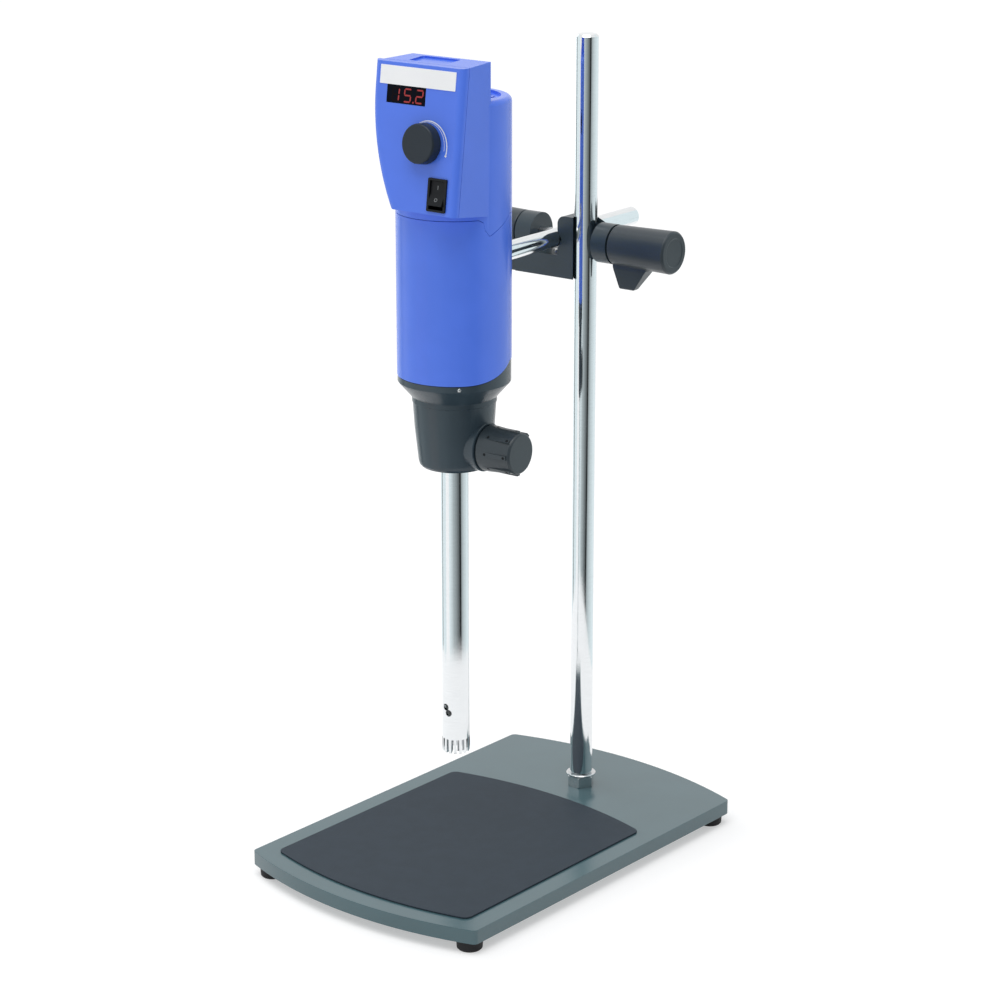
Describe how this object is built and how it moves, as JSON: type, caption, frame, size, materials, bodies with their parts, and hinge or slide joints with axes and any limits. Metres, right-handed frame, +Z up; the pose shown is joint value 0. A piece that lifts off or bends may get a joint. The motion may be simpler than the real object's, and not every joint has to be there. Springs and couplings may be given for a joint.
{
  "type": "rotor stator homogenizer",
  "caption": "Motor drive with a rotor stator dispersing tool, held by an arm and a double clamp on a plate stand with an upright rod.",
  "frame": {"origin": "middle of the overall footprint, on the bench under the rubber feet", "axes": "+Z up along the stand rod, +X to the operator's right across the stand plate, +Y from the front to the back of the stand"},
  "size_m": [0.2, 0.3402, 0.5593],
  "materials": {
    "plate_paint": "satin grey-green paint",
    "mat_rubber": "fine matt rubber",
    "foot_rubber": "matt black rubber",
    "bright_steel": "turned stainless steel",
    "chrome_steel": "polished stainless steel",
    "cast_grey": "satin coated die casting",
    "knob_plastic": "fine textured dark slate plastic",
    "blue_plastic": "satin blue plastic",
    "flange_plastic": "fine textured dark slate plastic",
    "label_white": "blank white foil",
    "window_dark": "dark tinted window",
    "black_plastic": "black plastic",
    "board_green": "circuit board laminate",
    "parts_blue": "moulded electronic parts",
    "coil_copper": "enamelled copper wire",
    "core_steel": "stacked electrical steel",
    "brush_brass": "pressed brass",
    "carbon": "carbon",
    "bush_white": "white fluoropolymer",
    "bridge_alloy": "die cast alloy"
  },
  "bodies": {
    "base": {"base_plate": "plate_paint", "work_mat": "mat_rubber", "rubber_feet": "foot_rubber", "foot_screws": "bright_steel", "lock_nut": "bright_steel", "rod_washer": "bright_steel"},
    "rod": {"stand_rod": "chrome_steel"},
    "head": {"boss_head": "cast_grey", "rest_pin": "bright_steel"},
    "rod_pad": {"rod_pressure_pad": "bright_steel"},
    "rod_knob": {"rod_clamp_screw": "bright_steel", "rod_clamp_knob": "knob_plastic"},
    "arm_pad": {"arm_pressure_pad": "bright_steel"},
    "arm_knob": {"arm_clamp_screw": "bright_steel", "arm_clamp_knob": "knob_plastic"},
    "arm": {"extension_arm": "chrome_steel"},
    "drive": {"front_cover": "blue_plastic", "rear_housing": "blue_plastic", "motor_shell": "blue_plastic", "shaft_flange": "flange_plastic", "label_plate": "label_white", "display_window": "window_dark", "display_module": "black_plastic", "display_board": "board_green", "control_board": "board_green", "board_parts": "parts_blue", "potentiometer": "black_plastic", "switch_frame": "black_plastic", "switch_body": "black_plastic", "arm_socket": "bright_steel", "cable_gland": "black_plastic", "gland_sleeve": "foot_rubber", "housing_screws": "bright_steel", "field_core": "core_steel", "field_coils": "coil_copper", "bearing_bridge": "bridge_alloy", "bearing_outer_rings": "bright_steel", "bearing_balls": "chrome_steel", "brush_holders": "brush_brass", "carbon_brushes": "carbon", "brush_springs": "bright_steel"},
    "armature": {"motor_shaft": "bright_steel", "armature_core": "core_steel", "armature_windings": "coil_copper", "commutator": "coil_copper", "cooling_fan": "black_plastic", "bearing_inner_rings": "bright_steel", "drive_coupling": "bright_steel"},
    "dial": {"speed_knob": "knob_plastic", "knob_spindle": "bright_steel"},
    "rocker": {"switch_rocker": "black_plastic"},
    "tool_pad": {"tool_pressure_pad": "bright_steel"},
    "tool_knob": {"tool_clamp_screw": "bright_steel", "tool_clamp_knob": "knob_plastic"},
    "tool": {"stator_tube": "chrome_steel", "shaft_bushes": "bush_white"},
    "rotor": {"rotor_shaft": "bright_steel", "rotor_head": "bright_steel"}
  },
  "joints": [
    {"name": "head_swivel", "type": "hinge", "parent": "base", "child": "rod", "pos_m": [0, 0.08333, 0.0178], "axis": [0, 0, 1], "range_deg": [-60, 60]},
    {"name": "head_height", "type": "slide", "parent": "rod", "child": "head", "axis": [0, 0, 1], "range_m": [-0.05, 0.115]},
    {"name": "rod_pad_travel", "type": "slide", "parent": "head", "child": "rod_pad", "axis": [0.9986, 0.0523, 0], "range_m": [0, 0.003]},
    {"name": "rod_knob_turn", "type": "hinge", "parent": "rod_pad", "child": "rod_knob", "pos_m": [0, 0.08333, 0.4188], "axis": [0.9986, 0.0523, 0], "range_deg": [0, 864]},
    {"name": "arm_pad_travel", "type": "slide", "parent": "head", "child": "arm_pad", "axis": [-0.9986, -0.0523, 0], "range_m": [0, 0.003]},
    {"name": "arm_knob_turn", "type": "hinge", "parent": "arm_pad", "child": "arm_knob", "pos_m": [-0.00021, 0.08732, 0.4188], "axis": [-0.9986, -0.0523, 0], "range_deg": [0, 864]},
    {"name": "arm_reach", "type": "slide", "parent": "head", "child": "arm", "axis": [-0.0523, 0.9986, 0], "range_m": [-0.05, 0.03]},
    {"name": "drive_roll", "type": "hinge", "parent": "arm", "child": "drive", "pos_m": [-0.01511, -0.03723, 0.4188], "axis": [-0.0523, 0.9986, 0], "range_deg": [-20, 20]},
    {"name": "armature_spin", "type": "hinge", "parent": "drive", "child": "armature", "pos_m": [-0.01511, -0.03723, 0.4178], "axis": [0, 0, -1], "continuous": true},
    {"name": "speed_dial", "type": "hinge", "parent": "drive", "child": "dial", "pos_m": [-0.00346, -0.07812, 0.50669], "axis": [-0.0519, 0.9903, -0.1288], "range_deg": [-150, 130]},
    {"name": "power_rocker", "type": "hinge", "parent": "drive", "child": "rocker", "pos_m": [0.00921, -0.07705, 0.47488], "axis": [0.9986, 0.0523, 0], "range_deg": [0, 22]},
    {"name": "tool_pad_travel", "type": "slide", "parent": "drive", "child": "tool_pad", "axis": [0.9986, 0.0523, 0], "range_m": [0, 0.003]},
    {"name": "tool_knob_turn", "type": "hinge", "parent": "tool_pad", "child": "tool_knob", "pos_m": [-0.01511, -0.03723, 0.2998], "axis": [0.9986, 0.0523, 0], "range_deg": [0, 864]},
    {"name": "tool_insertion", "type": "slide", "parent": "drive", "child": "tool", "axis": [0, 0, -1], "range_m": [0, 0.05]},
    {"name": "rotor_spin", "type": "hinge", "parent": "tool", "child": "rotor", "pos_m": [-0.01511, -0.03723, 0.1678], "axis": [0, 0, -1], "continuous": true}
  ],
  "couplings": [
    {"joint": "rod_knob_turn", "follows": "rod_pad_travel", "rad_per_m": 5026.5},
    {"joint": "arm_knob_turn", "follows": "arm_pad_travel", "rad_per_m": 5026.5},
    {"joint": "tool_knob_turn", "follows": "tool_pad_travel", "rad_per_m": 5026.5},
    {"joint": "rotor_spin", "follows": "armature_spin", "ratio": 1}
  ]
}
